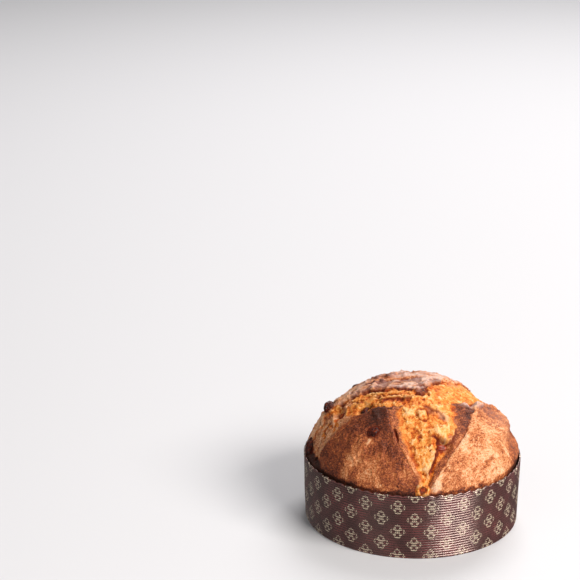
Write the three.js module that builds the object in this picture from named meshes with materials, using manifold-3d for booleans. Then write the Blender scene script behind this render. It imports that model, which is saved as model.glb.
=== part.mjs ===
// A low panettone in its paper baking mould: a domed sweet loaf, slashed crosswise before baking, in a
// round case of fluted board. Millimetres, +Z up. The origin is the centre of the underside that the
// mould stands on, and -Y is the front, where the slash between the two front flaps comes down.
import * as THREE from "three";
import { mergeVertices } from "three/addons/utils/BufferGeometryUtils.js";
import Module from "manifold-3d";

const wasm = await Module();
wasm.setup();

// The mould: a band of fluted board, glued at a lap, round a cup-shaped base disc.
const RIM_RADIUS = 107.5; // outside, at the top edge
const FOOT_RADIUS = 105.5; // outside, at the bottom edge
const WALL_HEIGHT = 66;
const BOARD = 1.3; // the fluted board over its ribs
const SCALLOPS = 67; // waves of the die-cut top edge
const SCALLOP_DEPTH = 1.6;
const STEPS_PER_SCALLOP = 4;
const LAP = { angle: 132, width: 16, step: 1.0 }; // the glued overlap: degrees, mm round, mm proud
const BASE_THICKNESS = 1.0;
const SKIRT = { height: 10, thickness: 0.8 }; // the base's turned-up edge, inside the band
const GAP = 0.3; // clearance between touching pieces

// The loaf.
const DOME = { radius: 104.2, height: 80, fullness: 1.85, shoulder: 0.7 };
const HEEL_RADIUS = 5; // the rounded edge round its underside
const LOAF_SEGMENTS = 72;
const DOME_ROWS = 22;
const CRUMB_DROP = 5; // how far the torn crumb lies under the crust
const LIP = 2; // how far the crust's edge curls up near its tips
const CROWN = { drop: 3, width: 30 }; // the crown is flatter than the dome by this much, over this

// Where the crust lies, in plan. The crossed slash opened into three flaps, with torn crumb between
// them. A flap is a tip, and an edge from it out to the rim on each side: the rim's degrees round from
// +X, and how far the edge bows to the left of its way there.
const FLAPS = [
  { tip: [-25, -45], rims: [-84, -153], bows: [-8, -6] },
  { tip: [60, -18], rims: [-81, 34], bows: [10, -2] },
  { tip: [8, -27], rims: [45, 187], bows: [2, -9] },
];
const BACK_TEAR = { angle: 92, reach: [24, 118], halfWidth: 8 }; // the slash up the back, a long leaf
const OUTSIDE = 150; // past the loaf's edge all round
const CURVE_STEPS = 12;

// The loaf's own bulges and hollows: place, widths along X, Y and Z, and rise.
const SWELLS = [
  { at: [64, 12, 122], widths: [28, 28, 28], rise: -3 },
  { at: [-84, 6, 106], widths: [22, 22, 22], rise: 2.4 },
  { at: [98, -4, 99], widths: [20, 36, 9], rise: 8 },
  { at: [80, 14, 113], widths: [12, 26, 12], rise: -3 },
];

// Fruit that shows in the surface: where, as [degrees, mm from the middle], its three half-sizes,
// its turn about the surface's normal in degrees, and how deep its middle lies under the surface.
const RAISINS = [
  { name: "raisin_front_left", at: [-120, 75], half: [6.8, 5.4, 3.8], turn: 20, sunk: 3.0 },
  { name: "raisin_left_slot", at: [-145, 60], half: [5.2, 3.6, 3.2], turn: 35, sunk: 3.0 },
  { name: "raisin_left_shoulder", at: [180, 80], half: [6.4, 5.0, 4.6], turn: 70, sunk: -0.4 },
  { name: "raisin_left_rim", at: [-173, 103], half: [11, 5.6, 4.4], turn: 45, sunk: 1.2 },
  { name: "raisin_right_arm", at: [40, 84], half: [5.4, 4.0, 3.4], turn: 110, sunk: 2.0 },
  { name: "raisin_back_tear", at: [92, 85], half: [5.8, 4.4, 3.8], turn: 0, sunk: 1.2 },
  { name: "raisin_back_left", at: [145, 70], half: [5.4, 4.2, 3.4], turn: 50, sunk: 1.6 },
  { name: "raisin_back_right", at: [50, 80], half: [5.6, 4.0, 3.6], turn: 140, sunk: 1.4 },
];
const PEEL = [
  { name: "candied_peel_front", at: [-84, 103.4], half: [4.4, 3.6, 3.0], turn: 15, sunk: 2.0 },
  { name: "candied_peel_notch", at: [-69, 82], half: [5.8, 3.2, 2.8], turn: 10, sunk: 3.0 },
  { name: "candied_peel_left_band", at: [-165, 75], half: [4.2, 3.4, 3.0], turn: 65, sunk: 2.4 },
  { name: "candied_peel_back_tear", at: [92, 58], half: [4.2, 3.6, 3.0], turn: 30, sunk: 1.6 },
];

const CRUST_BROWN = 0xa86434;
const BOARD_BROWN = 0x5a342c;
const BASE_BROWN = 0x4a2c24;
const RAISIN_BROWN = 0x3a160e;
const PEEL_AMBER = 0xd2701a;

const radians = THREE.MathUtils.degToRad;

// A baked or papery surface's material.
function material(color, roughness) {
  return new THREE.MeshStandardMaterial({ color, roughness, metalness: 0 });
}

// The band's outside radius at a height.
function wallRadius(z) {
  return THREE.MathUtils.lerp(FOOT_RADIUS, RIM_RADIUS, z / WALL_HEIGHT);
}

// A geometry's positions alone, with shared vertices merged, as manifold-3d wants them.
function bare(geometry) {
  const copy = geometry.clone();
  copy.deleteAttribute("normal");
  copy.deleteAttribute("uv");
  return mergeVertices(copy, 1e-3);
}

// Moves each vertex of a geometry by a function of its place.
function reshape(geometry, move) {
  const position = geometry.getAttribute("position");
  const point = new THREE.Vector3();
  for (let i = 0; i < position.count; i++) {
    move(point.fromBufferAttribute(position, i));
    position.setXYZ(i, point.x, point.y, point.z);
  }
  return geometry;
}

// A solid of revolution about Z from [radius, height] pairs.
function turned(profile, segments) {
  const points = profile.map(([r, z]) => new THREE.Vector2(r, z));
  return bare(new THREE.LatheGeometry(points, segments).rotateX(Math.PI / 2));
}

// ---- the mould -------------------------------------------------------------------------------

function caseWall() {
  const foot = FOOT_RADIUS;
  const rim = RIM_RADIUS;
  const profile = [
    [foot - BOARD, 0],
    [foot, 0],
    [rim, WALL_HEIGHT],
    [rim - BOARD, WALL_HEIGHT],
    [foot - BOARD, 0],
  ];
  const band = turned(profile, SCALLOPS * STEPS_PER_SCALLOP);
  const middle = radians(LAP.angle);
  const halfLap = LAP.width / 2 / RIM_RADIUS;
  return reshape(band, (p) => {
    const angle = Math.atan2(p.y, p.x);
    const radius = Math.hypot(p.x, p.y);
    const outside = radius > wallRadius(p.z) - BOARD / 2;
    const inLap = Math.abs(angle - middle) < halfLap;
    if (outside && inLap) {
      p.x *= 1 + LAP.step / radius;
      p.y *= 1 + LAP.step / radius;
    }
    if (p.z > WALL_HEIGHT / 2) {
      p.z -= (SCALLOP_DEPTH * (1 - Math.cos(angle * SCALLOPS))) / 2;
    }
  });
}

function caseBase() {
  const outer = (z) => wallRadius(z) - BOARD - GAP;
  const profile = [
    [0, 0],
    [outer(0), 0],
    [outer(SKIRT.height), SKIRT.height],
    [outer(SKIRT.height) - SKIRT.thickness, SKIRT.height],
    [outer(BASE_THICKNESS) - SKIRT.thickness, BASE_THICKNESS],
    [0, BASE_THICKNESS],
  ];
  return turned(profile, 96);
}

// ---- the loaf --------------------------------------------------------------------------------

// The smooth dome's height over the mould's rim at a distance from the middle.
function domeHeight(r) {
  const share = Math.min(r / DOME.radius, 1);
  const dome = DOME.height * (1 - share ** DOME.fullness) ** DOME.shoulder;
  return WALL_HEIGHT + dome - CROWN.drop * Math.exp(-((r / CROWN.width) ** 2));
}

function planPoint([degrees, r]) {
  return new THREE.Vector2(r * Math.cos(radians(degrees)), r * Math.sin(radians(degrees)));
}

// How far a plan point lies inside a closed outline, negative outside it.
function depthInside(outline, x, y) {
  let nearest = Infinity;
  let inside = false;
  outline.forEach((a, i) => {
    const b = outline[(i + 1) % outline.length];
    const along = ((x - a.x) * (b.x - a.x) + (y - a.y) * (b.y - a.y)) / a.distanceToSquared(b);
    const t = THREE.MathUtils.clamp(along, 0, 1);
    nearest = Math.min(nearest, Math.hypot(x - a.x - t * (b.x - a.x), y - a.y - t * (b.y - a.y)));
    const crosses = a.y > y !== b.y > y && x < ((b.x - a.x) * (y - a.y)) / (b.y - a.y) + a.x;
    if (crosses) inside = !inside;
  });
  return inside ? nearest : -nearest;
}

// A plan curve between two points that bows to the left of its way by this much at its middle.
function bowed(start, end, bow) {
  const middle = start.clone().lerp(end, 0.5);
  const way = end.clone().sub(start).normalize();
  middle.add(new THREE.Vector2(-way.y, way.x).multiplyScalar(2 * bow));
  return new THREE.QuadraticBezierCurve(start, middle, end).getPoints(CURVE_STEPS);
}

// A flap's outline: up its first edge, down its second, and back round outside the loaf.
function flapOutline({ tip, rims, bows }) {
  const top = new THREE.Vector2(...tip);
  const [first, second] = rims.map((rim, i) => bowed(top, planPoint([rim, DOME.radius]), bows[i]));
  const back = Array.from({ length: CURVE_STEPS + 1 }, (_, i) => {
    return planPoint([THREE.MathUtils.lerp(rims[1], rims[0], i / CURVE_STEPS), OUTSIDE]);
  });
  return [...first.reverse(), ...second.slice(1), ...back];
}

// The outline of the slash up the back, a long leaf along a ray from the middle.
function tearOutline({ angle, reach, halfWidth }) {
  const sides = [1, -1].map((side) =>
    Array.from({ length: CURVE_STEPS }, (_, i) => {
      const share = i / CURVE_STEPS;
      const r = THREE.MathUtils.lerp(reach[0], reach[1], side > 0 ? share : 1 - share);
      const half = side * halfWidth * Math.sin(Math.PI * share);
      return new THREE.Vector2(r, half).rotateAround(new THREE.Vector2(), radians(angle));
    }),
  );
  return sides.flat();
}

const flapOutlines = FLAPS.map(flapOutline);
const backTear = tearOutline(BACK_TEAR);

// How far a plan point lies inside the crust, negative on the torn crumb.
function crustDepth(x, y) {
  const inFlap = Math.max(...flapOutlines.map((outline) => depthInside(outline, x, y)));
  return Math.min(inFlap, -depthInside(backTear, x, y));
}

// How far the real surface stands off the smooth dome, along the dome's normal.
function relief(x, y, z) {
  const depth = crustDepth(x, y);
  const r = Math.hypot(x, y);
  const over = THREE.MathUtils.smoothstep(z, WALL_HEIGHT, WALL_HEIGHT + 14);
  const crust = THREE.MathUtils.smoothstep(depth, -4, 4);
  const curl = LIP * Math.exp(-(((depth - 4) / 5) ** 2)) * THREE.MathUtils.smoothstep(-r, -100, -50);
  const swells = SWELLS.reduce((sum, { at, widths, rise }) => {
    const far = [x, y, z].reduce((total, value, i) => total + ((value - at[i]) / widths[i]) ** 2, 0);
    return sum + rise * Math.exp(-far);
  }, 0);
  const lumps = 0.9 * Math.sin(x / 13 + 1) * Math.sin(y / 11 + 2) + 0.7 * Math.sin(x / 7 - y / 9);
  return over * (CRUMB_DROP * (crust - 1) + curl + swells + lumps);
}

// The dome's outward normal at a plan point.
function domeNormal(x, y) {
  const r = Math.max(Math.hypot(x, y), 0.01);
  const step = 0.5;
  const slope = (domeHeight(r) - domeHeight(Math.max(r - step, 0))) / Math.min(step, r);
  return new THREE.Vector3((-slope * x) / r, (-slope * y) / r, 1).normalize();
}

// The point on the loaf's finished surface over [degrees, mm from the middle].
function onSurface(at) {
  const { x, y } = planPoint(at);
  const z = domeHeight(Math.hypot(x, y));
  const normal = domeNormal(x, y);
  return { normal, point: new THREE.Vector3(x, y, z).addScaledVector(normal, relief(x, y, z)) };
}

// The loaf's side, inside the mould's wall and the base's skirt.
function sideRadius(z) {
  const skirtTop = SKIRT.height + 2;
  const inside = wallRadius(z) - BOARD - GAP;
  return z < skirtTop ? inside - SKIRT.thickness - GAP : inside;
}

function loafBlank() {
  const bottom = BASE_THICKNESS + GAP;
  const profile = [[0, bottom]];
  for (let i = 1; i <= 2; i++) profile.push([(sideRadius(bottom) - HEEL_RADIUS) * (i / 2), bottom]);
  for (let i = 1; i <= 3; i++) {
    const a = (i / 3) * (Math.PI / 2);
    const inset = HEEL_RADIUS * (1 - Math.sin(a));
    profile.push([sideRadius(bottom) - inset, bottom + HEEL_RADIUS * (1 - Math.cos(a))]);
  }
  profile.push([sideRadius(SKIRT.height), SKIRT.height + 1]);
  profile.push([sideRadius(SKIRT.height + 3), SKIRT.height + 3]);
  for (const z of [30, 48, WALL_HEIGHT - 4]) profile.push([sideRadius(z) - GAP, z]);
  for (let i = 0; i <= DOME_ROWS; i++) {
    const r = DOME.radius * Math.cos((i / DOME_ROWS) * (Math.PI / 2));
    profile.push([i === DOME_ROWS ? 0 : r, domeHeight(r)]);
  }
  return turned(profile, LOAF_SEGMENTS);
}

function solidOf(geometry) {
  return new wasm.Manifold(
    new wasm.Mesh({
      numProp: 3,
      vertProperties: new Float32Array(geometry.getAttribute("position").array),
      triVerts: new Uint32Array(geometry.index.array),
    }),
  );
}

function geometryOf(solid) {
  const { vertProperties, triVerts } = solid.getMesh();
  const geometry = new THREE.BufferGeometry();
  geometry.setAttribute("position", new THREE.BufferAttribute(vertProperties, 3));
  return geometry.setIndex(new THREE.BufferAttribute(triVerts, 1));
}

// A piece of fruit as a rounded lump, made grow mm larger all over when it cuts its own pocket.
function lump({ half, squareness }, grow) {
  const ball = bare(new THREE.IcosahedronGeometry(1, 1));
  return reshape(ball, (p) => {
    const norm = (Math.abs(p.x) ** squareness + Math.abs(p.y) ** squareness + Math.abs(p.z) ** squareness);
    p.multiplyScalar(norm ** (-1 / squareness));
    p.set(p.x * (half[0] + grow), p.y * (half[1] + grow), p.z * (half[2] + grow));
  });
}

// Sets a mesh on the loaf's surface where a piece of fruit lies.
function place(object, { at, turn, sunk }) {
  const { point, normal } = onSurface(at);
  object.position.copy(point).addScaledVector(normal, -sunk);
  object.quaternion.setFromUnitVectors(new THREE.Vector3(0, 0, 1), normal);
  object.rotateZ(radians(turn));
  object.updateMatrixWorld(true);
  return object;
}

function fruitMesh(fruit, skin) {
  const mesh = new THREE.Mesh(lump(fruit, 0), skin);
  mesh.name = fruit.name;
  return place(mesh, fruit);
}

function pocketFor(fruit) {
  const cutter = place(new THREE.Mesh(lump(fruit, GAP)), fruit);
  return solidOf(bare(cutter.geometry.applyMatrix4(cutter.matrixWorld)));
}

function loafGeometry(fruits) {
  const dome = reshape(loafBlank(), (p) => {
    if (p.z < WALL_HEIGHT) return;
    p.addScaledVector(domeNormal(p.x, p.y), relief(p.x, p.y, p.z));
  });
  return geometryOf(fruits.reduce((loaf, fruit) => loaf.subtract(pocketFor(fruit)), solidOf(dome)));
}

// ---- the assembly ----------------------------------------------------------------------------

function named(name, geometry, skin) {
  const mesh = new THREE.Mesh(geometry, skin);
  mesh.name = name;
  return mesh;
}

const raisins = RAISINS.map((raisin) => ({ ...raisin, squareness: 2 }));
const peel = PEEL.map((cube) => ({ ...cube, squareness: 3.2 }));
const raisinSkin = material(RAISIN_BROWN, 0.35);
const peelSkin = material(PEEL_AMBER, 0.25);

const mould = new THREE.Group();
mould.add(named("case_wall", caseWall(), material(BOARD_BROWN, 0.5)));
mould.add(named("case_base", caseBase(), material(BASE_BROWN, 0.6)));

const bread = new THREE.Group();
bread.add(named("loaf", loafGeometry([...raisins, ...peel]), material(CRUST_BROWN, 0.7)));
raisins.forEach((raisin) => bread.add(fruitMesh(raisin, raisinSkin)));
peel.forEach((cube) => bread.add(fruitMesh(cube, peelSkin)));

const panettone = new THREE.Group();
panettone.add(mould, bread);
export default panettone;
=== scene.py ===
"""The looks of a low panettone in its paper baking mould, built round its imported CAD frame.

Laid out as an add-on, and run as a script: main() makes each group of pieces with its operator.
"""

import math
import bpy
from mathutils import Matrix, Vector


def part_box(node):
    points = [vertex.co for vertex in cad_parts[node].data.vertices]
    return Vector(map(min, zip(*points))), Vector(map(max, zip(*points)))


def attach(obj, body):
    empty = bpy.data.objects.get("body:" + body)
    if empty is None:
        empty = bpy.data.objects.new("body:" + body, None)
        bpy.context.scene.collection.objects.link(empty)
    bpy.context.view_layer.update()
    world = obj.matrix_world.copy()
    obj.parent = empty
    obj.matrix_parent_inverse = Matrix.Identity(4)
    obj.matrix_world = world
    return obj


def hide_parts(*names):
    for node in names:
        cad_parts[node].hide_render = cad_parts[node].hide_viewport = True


bl_info = {
    "name": "Panettone",
    "version": (1, 0, 0),
    "blender": (4, 5, 0),
    "location": "View3D > Sidebar > Panettone",
    "description": "A slashed and burst low panettone in its fluted paper mould",
    "category": "Add Mesh",
}

from contextlib import contextmanager
from functools import partial

import bpy
import numpy as np
from bpy.props import FloatProperty, FloatVectorProperty, IntProperty, PointerProperty
from mathutils import Matrix, Vector, noise

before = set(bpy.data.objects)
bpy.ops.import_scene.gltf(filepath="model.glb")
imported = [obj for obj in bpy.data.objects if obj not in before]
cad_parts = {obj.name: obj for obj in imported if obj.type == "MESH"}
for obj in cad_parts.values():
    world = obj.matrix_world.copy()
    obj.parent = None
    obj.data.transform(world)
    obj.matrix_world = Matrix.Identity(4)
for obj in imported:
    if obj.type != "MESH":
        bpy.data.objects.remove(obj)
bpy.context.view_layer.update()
BODY = "root"
MM = 0.001
LIGHT_DISTANCE = 3.6  # metres

# ---- sizes that the frame gives, in millimetres -------------------------------------------------


def box_mm(node):
    """A CAD node's lowest and highest corner, in millimetres."""
    return [np.array(corner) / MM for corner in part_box(node)]


_, WALL_HIGH = box_mm("case_wall")
RIM_RADIUS = float(WALL_HIGH[0])  # outside, at the mould's top edge
WALL_HEIGHT = float(WALL_HIGH[2])
_, BASE_HIGH = box_mm("case_base")
SKIRT_HEIGHT = float(BASE_HIGH[2])
LOAF_LOW, LOAF_HIGH = box_mm("loaf")
FRUIT = sorted(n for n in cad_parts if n.startswith(("raisin", "candied_peel")))

# ---- the mould's make ---------------------------------------------------------------------------

FOOT_RADIUS = RIM_RADIUS - 2.0  # the wall leans out by this much from foot to rim
BOARD = 1.3  # the fluted board over its ribs
FLUTES = 26  # ribs from foot to rim
RIB_STEPS = 7  # edges along one rib's section
SCALLOPS = 67  # waves of the die-cut top edge
SCALLOP_DEPTH = 1.6
CUT_RIBS = 1.6  # how many of the top ribs the wavy edge is cut into
STEPS_PER_SCALLOP = 6
LAP_ANGLE, LAP_WIDTH, LAP_STEP = 132.0, 16.0, 0.8  # the glued overlap: degrees, mm round, mm proud
PRINT_COLUMNS = 42  # columns of printed rosettes round the wall
PRINT_TURN = 0.25  # how far the first column stands to the right of the front, in columns
PRINT_PITCH = 25.6  # mm from one rosette up to the next in its column
PRINT_RISE = 15.0  # mm from the foot up to the first rosette
PETAL = (3.6, 0.0, 2.1)  # each of a rosette's four rings: mm out from its middle, mm aside, and radius
PETAL_LOBE = (5.1, 1.45, 1.2)  # the smaller ring that widens a petal's end, on either side of it
PETAL_TIP = (7.3, 0.0, 0.0)  # the dot past a petal's end
SPUR = (3.5, 3.2, 0.0)  # the dot between two petals
LINE, DOT, HEART = 0.27, 0.55, 1.15  # half-widths in mm of the drawn line, a dot and the middle diamond
INK_EDGE = 0.14  # mm over which the ink fades on either side of its edge

# ---- the loaf's shape, in plan and in millimetres -----------------------------------------------

DOME_RADIUS = RIM_RADIUS - 3.3
DOME_HEIGHT = 80.0  # above the mould's rim
FULLNESS, SHOULDER = 1.85, 0.7  # the powers in the dome's profile
CROWN_DROP, CROWN_WIDTH = 4.0, 30.0  # the crown is flatter than the dome by this much, over this
TUCK = 9.0  # how far the fine surface goes down inside the mould's rim
RIM_GAP = 0.4  # the loaf stays this far inside the rim's radius
OUTSIDE = 150.0  # past the loaf's edge all round

# The crossed slash opened into three flaps of crust, with torn crumb between them. A flap has a tip,
# and an edge from it out to the rim on each side: the rim's degrees round from +X, and how far the
# edge bows to the left of its way there. Along a front flap's first edge the cut side slopes down to
# the crumb, and cut is that slope's width at the tip and at the rim.
FLAPS = {
    "front_left": {"tip": (-25, -45), "rims": (-84, -153), "bows": (-8, -6), "cut": (15, 4)},
    "front_right": {"tip": (60, -18), "rims": (-81, 34), "bows": (10, -2), "cut": (21, 2)},
    "back": {"tip": (8, -27), "rims": (45, 187), "bows": (2, -9)},
}
LEFT, RIGHT, BACK = range(3)
BACK_TEAR = {"angle": 92, "reach": (24, 118), "half_width": 8}  # the slash up the back, a long leaf
SWELLS = (  # the loaf's own bulges and hollows: place, widths along X, Y and Z, and rise
    ((54, 12, 126), (20, 28, 28), -3.6),
    ((-20, 6, 142), (20, 30, 30), -2.6),
    ((-84, 6, 106), (22, 22, 22), 2.4),
    ((98, -4, 99), (20, 36, 9), 8.6),
    ((84, 14, 111), (12, 26, 12), -1.8),
    ((106, 0, 86), (14, 34, 8), -2.6),
    ((106, 2, 73), (14, 34, 7), 2.6),
)
NOTCH_FOOT = -82.5  # degrees: where the notch between the front flaps meets the rim
DOUGH_NOISES = ((34, 3, 1), (12, 3, 2), (5, 3, 3), (2.4, 2, 4))  # lump size in mm, octaves and seed
# where the crumb lies higher, and where it lies lower: place, width, and share of the crumb's drop
CRUMB_RISEN = (((-70, -20), 34, 0.5), ((4, -16), 44, 0.72), ((54, 18), 26, 0.9))
CRUMB_SUNK = ((46, -34), 30, 0.7)
LOOKS = ("crust", "bake", "rose", "glow", "pit")  # what each vertex tells the loaf's material

# How the dough in the notch tore. Each has its way, as (share of the way down the notch, mm right of
# its middle, width, height), a ring radius if it runs round that place, and what it does to the looks:
# the dark red look is mostly painted shade, laid into holes, cracks, grooves and hollows, and once a
# scorch; the pale crumb look is paler crumb, and painted light where the crumb stands proud; crust
# skins it over; the browning look browns the crust, and paints shade where it lies low; and the pink
# look gives it a pale bloom, with a painted sheen on the crown and a painted highlight on a ledge.
NOTCH_WORK = {
    "curl": ([(0.34, -1, 5, 3.0)], 0, {"glow": 0.15}),
    "curl_groove": ([(0.34, -1, 1.1, -1.6)], 6.0, {"pit": 0.4}),
    "brown_hollow": ([(0.12, -18, 6, -1.4)], 0, {"crust": 0.4, "bake": -0.1}),
    "yellow_knob": ([(0.33, -12, 5, 1.6)], 0, {"glow": 0.35}),
    "brown_skin": ([(0.26, 9, 7, 0.8), (0.3, 24, 7, 0.6)], 0, {"crust": 0.55, "bake": -0.12}),
    "lobe": ([(0.36, 24, 6, 2.0), (0.5, 17, 8, 2.6)], 0, {"glow": 0.1}),
    "amber_hollow": ([(0.7, -14, 4.5, -1.6), (0.82, -10, 3.5, -1.2)], 0, {"glow": -0.22, "pit": 0.2}),
    "strand": ([(0.68, 20, 1.6, 1.4), (0.82, 12, 1.6, 1.2), (0.93, 6, 1.4, 0.8)], 0, {"glow": 0.2}),
    "pale_knot": ([(0.96, 11, 3.6, 1.8), (0.99, 12, 3.6, 1.8)], 0,
                  {"crust": 0.8, "bake": -0.4, "rose": 0.25}),
    "scorch": ([(0.97, -9, 3.5, 0)], 0, {"pit": 0.5}),
    "slit": ([(0.54, -28, 1.2, -2.6), (0.6, -27, 1.5, -3.6), (0.66, -25, 1.0, -2.0)], 0, {"pit": 1.0}),
    "ledge": ([(0.21, -36, 1.5, 1.4), (0.23, -28, 1.5, 1.8), (0.25, -21, 1.3, 1.2)], 0, {"crust": 0.9}),
    # The ledge at the right flap's tip carries a painted highlight in pale pink.
    "pale_ledge": ([(-0.04, 42, 1.6, 1.6), (-0.14, 54, 2.6, 2.6), (-0.3, 61, 1.8, 1.4)], 0,
                   {"crust": 0.9, "rose": 1.0, "pit": -0.6}),
}

# Sheets of dough in the notch that end in a step: their places along it, with the high side on the
# left of the way, then how high the step is and how far back the sheet slopes down from it.
FOLDS = {
    "middle_heap": ([(0.94, 2), (0.88, 3), (0.8, 8), (0.72, 12), (0.62, 12), (0.57, 4)], 4.2, 14),
    "lobe_edge": ([(0.54, 5), (0.61, 14), (0.63, 21), (0.55, 27), (0.45, 31), (0.34, 31)], 2.4, 12),
    "slanting_tear": ([(0.5, -10), (0.55, -5), (0.61, 0)], 1.0, 4),
    "under_crown": ([(0.04, -44), (0.07, -26), (0.1, -6)], 2.0, 5),
    "over_skin": ([(0.2, 0), (0.24, 16), (0.34, 24)], 1.6, 6),
}

# What else marks the surface, in the same form as the notch's work but placed as (degrees round from
# +X, mm from the middle, width, height).
ROUND_WORK = {
    "golden_ridge": ([(-121, 81, 5, 1.0), (-126, 90, 8, 1.2), (-128, 98, 7, 0.6)], 0, {"bake": -0.25}),
    "pale_flake": ([(-121, 82, 1.6, 0.6)], 0, {"bake": -0.5}),
    "prick": ([(-128, 85, 1.3, -1.2)], 0, {"pit": 0.9}),
    "low_crease": ([(-54, 100, 0.9, -1.0), (-44, 98, 1.0, -1.2), (-35, 96, 0.8, -0.8)], 0, {"bake": 0.14}),
    "high_crease": ([(-53, 88, 0.8, -0.8), (-46, 88, 0.9, -1.0), (-39, 90, 0.8, -0.7)], 0, {"bake": 0.1}),
    # The right flap's fold has a painted highlight: its crust is paler along the ridge.
    "pale_fold": ([(-26, 90, 2.0, 1.6), (-23, 97, 2.2, 1.8), (-21, 103, 2.0, 1.2)], 0, {"bake": -0.12}),
    "band_hollow": ([(-172, 74, 5.0, -2.0)], 0, {"crust": -0.9, "glow": 0.25}),
    "band_hole": ([(-171, 69, 2.6, -3.0), (-174, 71, 2.4, -3.0)], 0, {"pit": 1.0}),
    "band_hole_high": ([(176, 76, 2.4, -3.0), (180, 80, 1.8, -2.0)], 0, {"pit": 1.0}),
    "band_hole_left": ([(172, 84, 1.8, -2.6), (178, 87, 1.4, -2.0)], 0, {"pit": 0.9}),
    "band_slot": ([(-179, 91, 1.2, -1.6), (-175, 92, 1.2, -1.4)], 0, {"pit": 0.8}),
    "band_seam": ([(-166, 83, 1.3, -1.8), (-165, 90, 1.4, -2.0)], 0, {"pit": 0.9}),
    "skin_right": ([(16, 39, 8, 0.4), (22, 52, 8, 0.4)], 0, {"crust": 0.55, "bake": -0.12}),
    "band_seam_low": ([(-163, 96, 1.2, -1.4), (-160, 100, 1.3, -1.6)], 0, {"pit": 0.5}),
}

# Fruit that the crust tore open round: the half-length of the slot, or the height of the ring of dough.
SLOTS = {"raisin_left_slot": 10.0, "candied_peel_notch": 7.0}
RINGS = {"candied_peel_front": 2.8}


def smooth(low, high, x):
    """0 below low, 1 above high, and a smooth step between them."""
    t = np.clip((x - low) / (high - low), 0.0, 1.0)
    return t * t * (3.0 - 2.0 * t)


def bell(distance, width):
    """A smooth bump of height 1 that fades over about width."""
    return np.exp(-((distance / width) ** 2))


def fractal(points, size, octaves=3, seed=0.0):
    """Smooth noise about 0 at each point, with lumps about size millimetres across."""
    shift = Vector((seed * 31.7, seed * 17.3, seed * 5.9))
    scaled = (points / size).tolist()
    return np.array([noise.fractal(Vector(p) + shift, 1.0, 2.0, octaves) for p in scaled])


def cells(points, size, seed=0.0):
    """How far each point is from the nearest of scattered points about size apart, in their spacing."""
    shift = Vector((seed * 13.1, seed * 7.7, seed * 3.3))
    scaled = (points / size).tolist()
    return np.array([noise.voronoi(Vector(p) + shift)[0][0] for p in scaled])


def hollows(height, rounds):
    """How far each vertex of a square sheet lies below those round it, spread over this many rounds."""
    side = math.isqrt(len(height))
    level = height.reshape(side, side)
    for _ in range(rounds):
        level = sum(np.roll(level, step, axis) for step in (-1, 1) for axis in (0, 1)) / 4
    return level.ravel() - height


def rim_point(degrees, r=DOME_RADIUS):
    """The plan point this many degrees round from +X, on the loaf's edge or at another distance."""
    angle = math.radians(degrees)
    return np.array([r * math.cos(angle), r * math.sin(angle)])


def bowed(start, end, bow, steps=14):
    """A plan curve between two points, that bows to the left of its way by this much at its middle."""
    start, end = np.array(start, float), np.array(end, float)
    way = end - start
    left = np.array([-way[1], way[0]]) / np.hypot(*way)
    t = np.linspace(0, 1, steps)[:, None]
    return start + way * t + 4 * bow * t * (1 - t) * left


def flap_edges(flap):
    """A flap's two edges, each from its tip to the rim."""
    return [bowed(flap["tip"], rim_point(rim), bow) for rim, bow in zip(flap["rims"], flap["bows"])]


def flap_outline(flap):
    """A flap's closed outline: up its first edge, down its second, and back round outside the loaf."""
    first, second = flap_edges(flap)
    back = [rim_point(a, OUTSIDE) for a in np.linspace(flap["rims"][1], flap["rims"][0], 12)]
    return np.concatenate([first[::-1], second[1:], back])


def tear_outline():
    """The outline of the slash up the back: a long leaf along a ray from the middle."""
    share = np.linspace(0, 1, 12)
    r = np.interp(share, [0, 1], BACK_TEAR["reach"])
    half = BACK_TEAR["half_width"] * np.sin(math.pi * share)
    out = rim_point(BACK_TEAR["angle"], 1.0)
    middle, side = r[:, None] * out, half[:, None] * [-out[1], out[0]]
    return np.concatenate([middle + side, (middle - side)[-2:0:-1]])


def notch_place(share, aside):
    """The plan point this share of the way down the notch, and this many mm right of its middle."""
    top, foot = np.array(FLAPS["back"]["tip"], float), rim_point(NOTCH_FOOT)
    return top + share * (foot - top) + [aside, 0]


def depth_inside(outline, xy):
    """How far plan points lie inside a closed outline, negative outside, and the way out of it."""
    nearest = np.full(len(xy), np.inf)
    way = np.zeros_like(xy)
    inside = np.zeros(len(xy), bool)
    for a, b in zip(outline, np.roll(outline, -1, axis=0)):
        side = b - a
        t = np.clip((xy - a) @ side / (side @ side), 0, 1)
        gap = xy - a - t[:, None] * side
        distance = np.hypot(gap[:, 0], gap[:, 1])
        closer = distance < nearest
        nearest[closer] = distance[closer]
        way[closer] = gap[closer]
        if a[1] != b[1]:
            crossed = (a[1] > xy[:, 1]) != (b[1] > xy[:, 1])
            inside ^= crossed & (xy[:, 0] < side[0] * (xy[:, 1] - a[1]) / side[1] + a[0])
    sign = np.where(inside, 1.0, -1.0)
    return nearest * sign, way * (-sign / np.maximum(nearest, 1e-6))[:, None]


def along(xy, path):
    """How far plan points are to the left of a path, negative on its right, and its values beside them."""
    path = np.array(path, float)
    if len(path) == 1:
        path = np.repeat(path, 2, axis=0) + [[0] * path.shape[1], [0.01] + [0] * (path.shape[1] - 1)]
    nearest = np.full(len(xy), np.inf)
    left = np.ones(len(xy))
    values = np.zeros((len(xy), path.shape[1]))
    for a, b in zip(path[:-1], path[1:]):
        side = b[:2] - a[:2]
        t = np.clip((xy - a[:2]) @ side / (side @ side), 0, 1)
        gap = xy - a[:2] - t[:, None] * side
        distance = np.hypot(*gap.T)
        closer = distance < nearest
        nearest[closer] = distance[closer]
        left[closer] = np.where(side[0] * gap[:, 1] > side[1] * gap[:, 0], 1.0, -1.0)[closer]
        values[closer] = (a + t[:, None] * (b - a))[closer]
    return nearest * left, values


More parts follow.
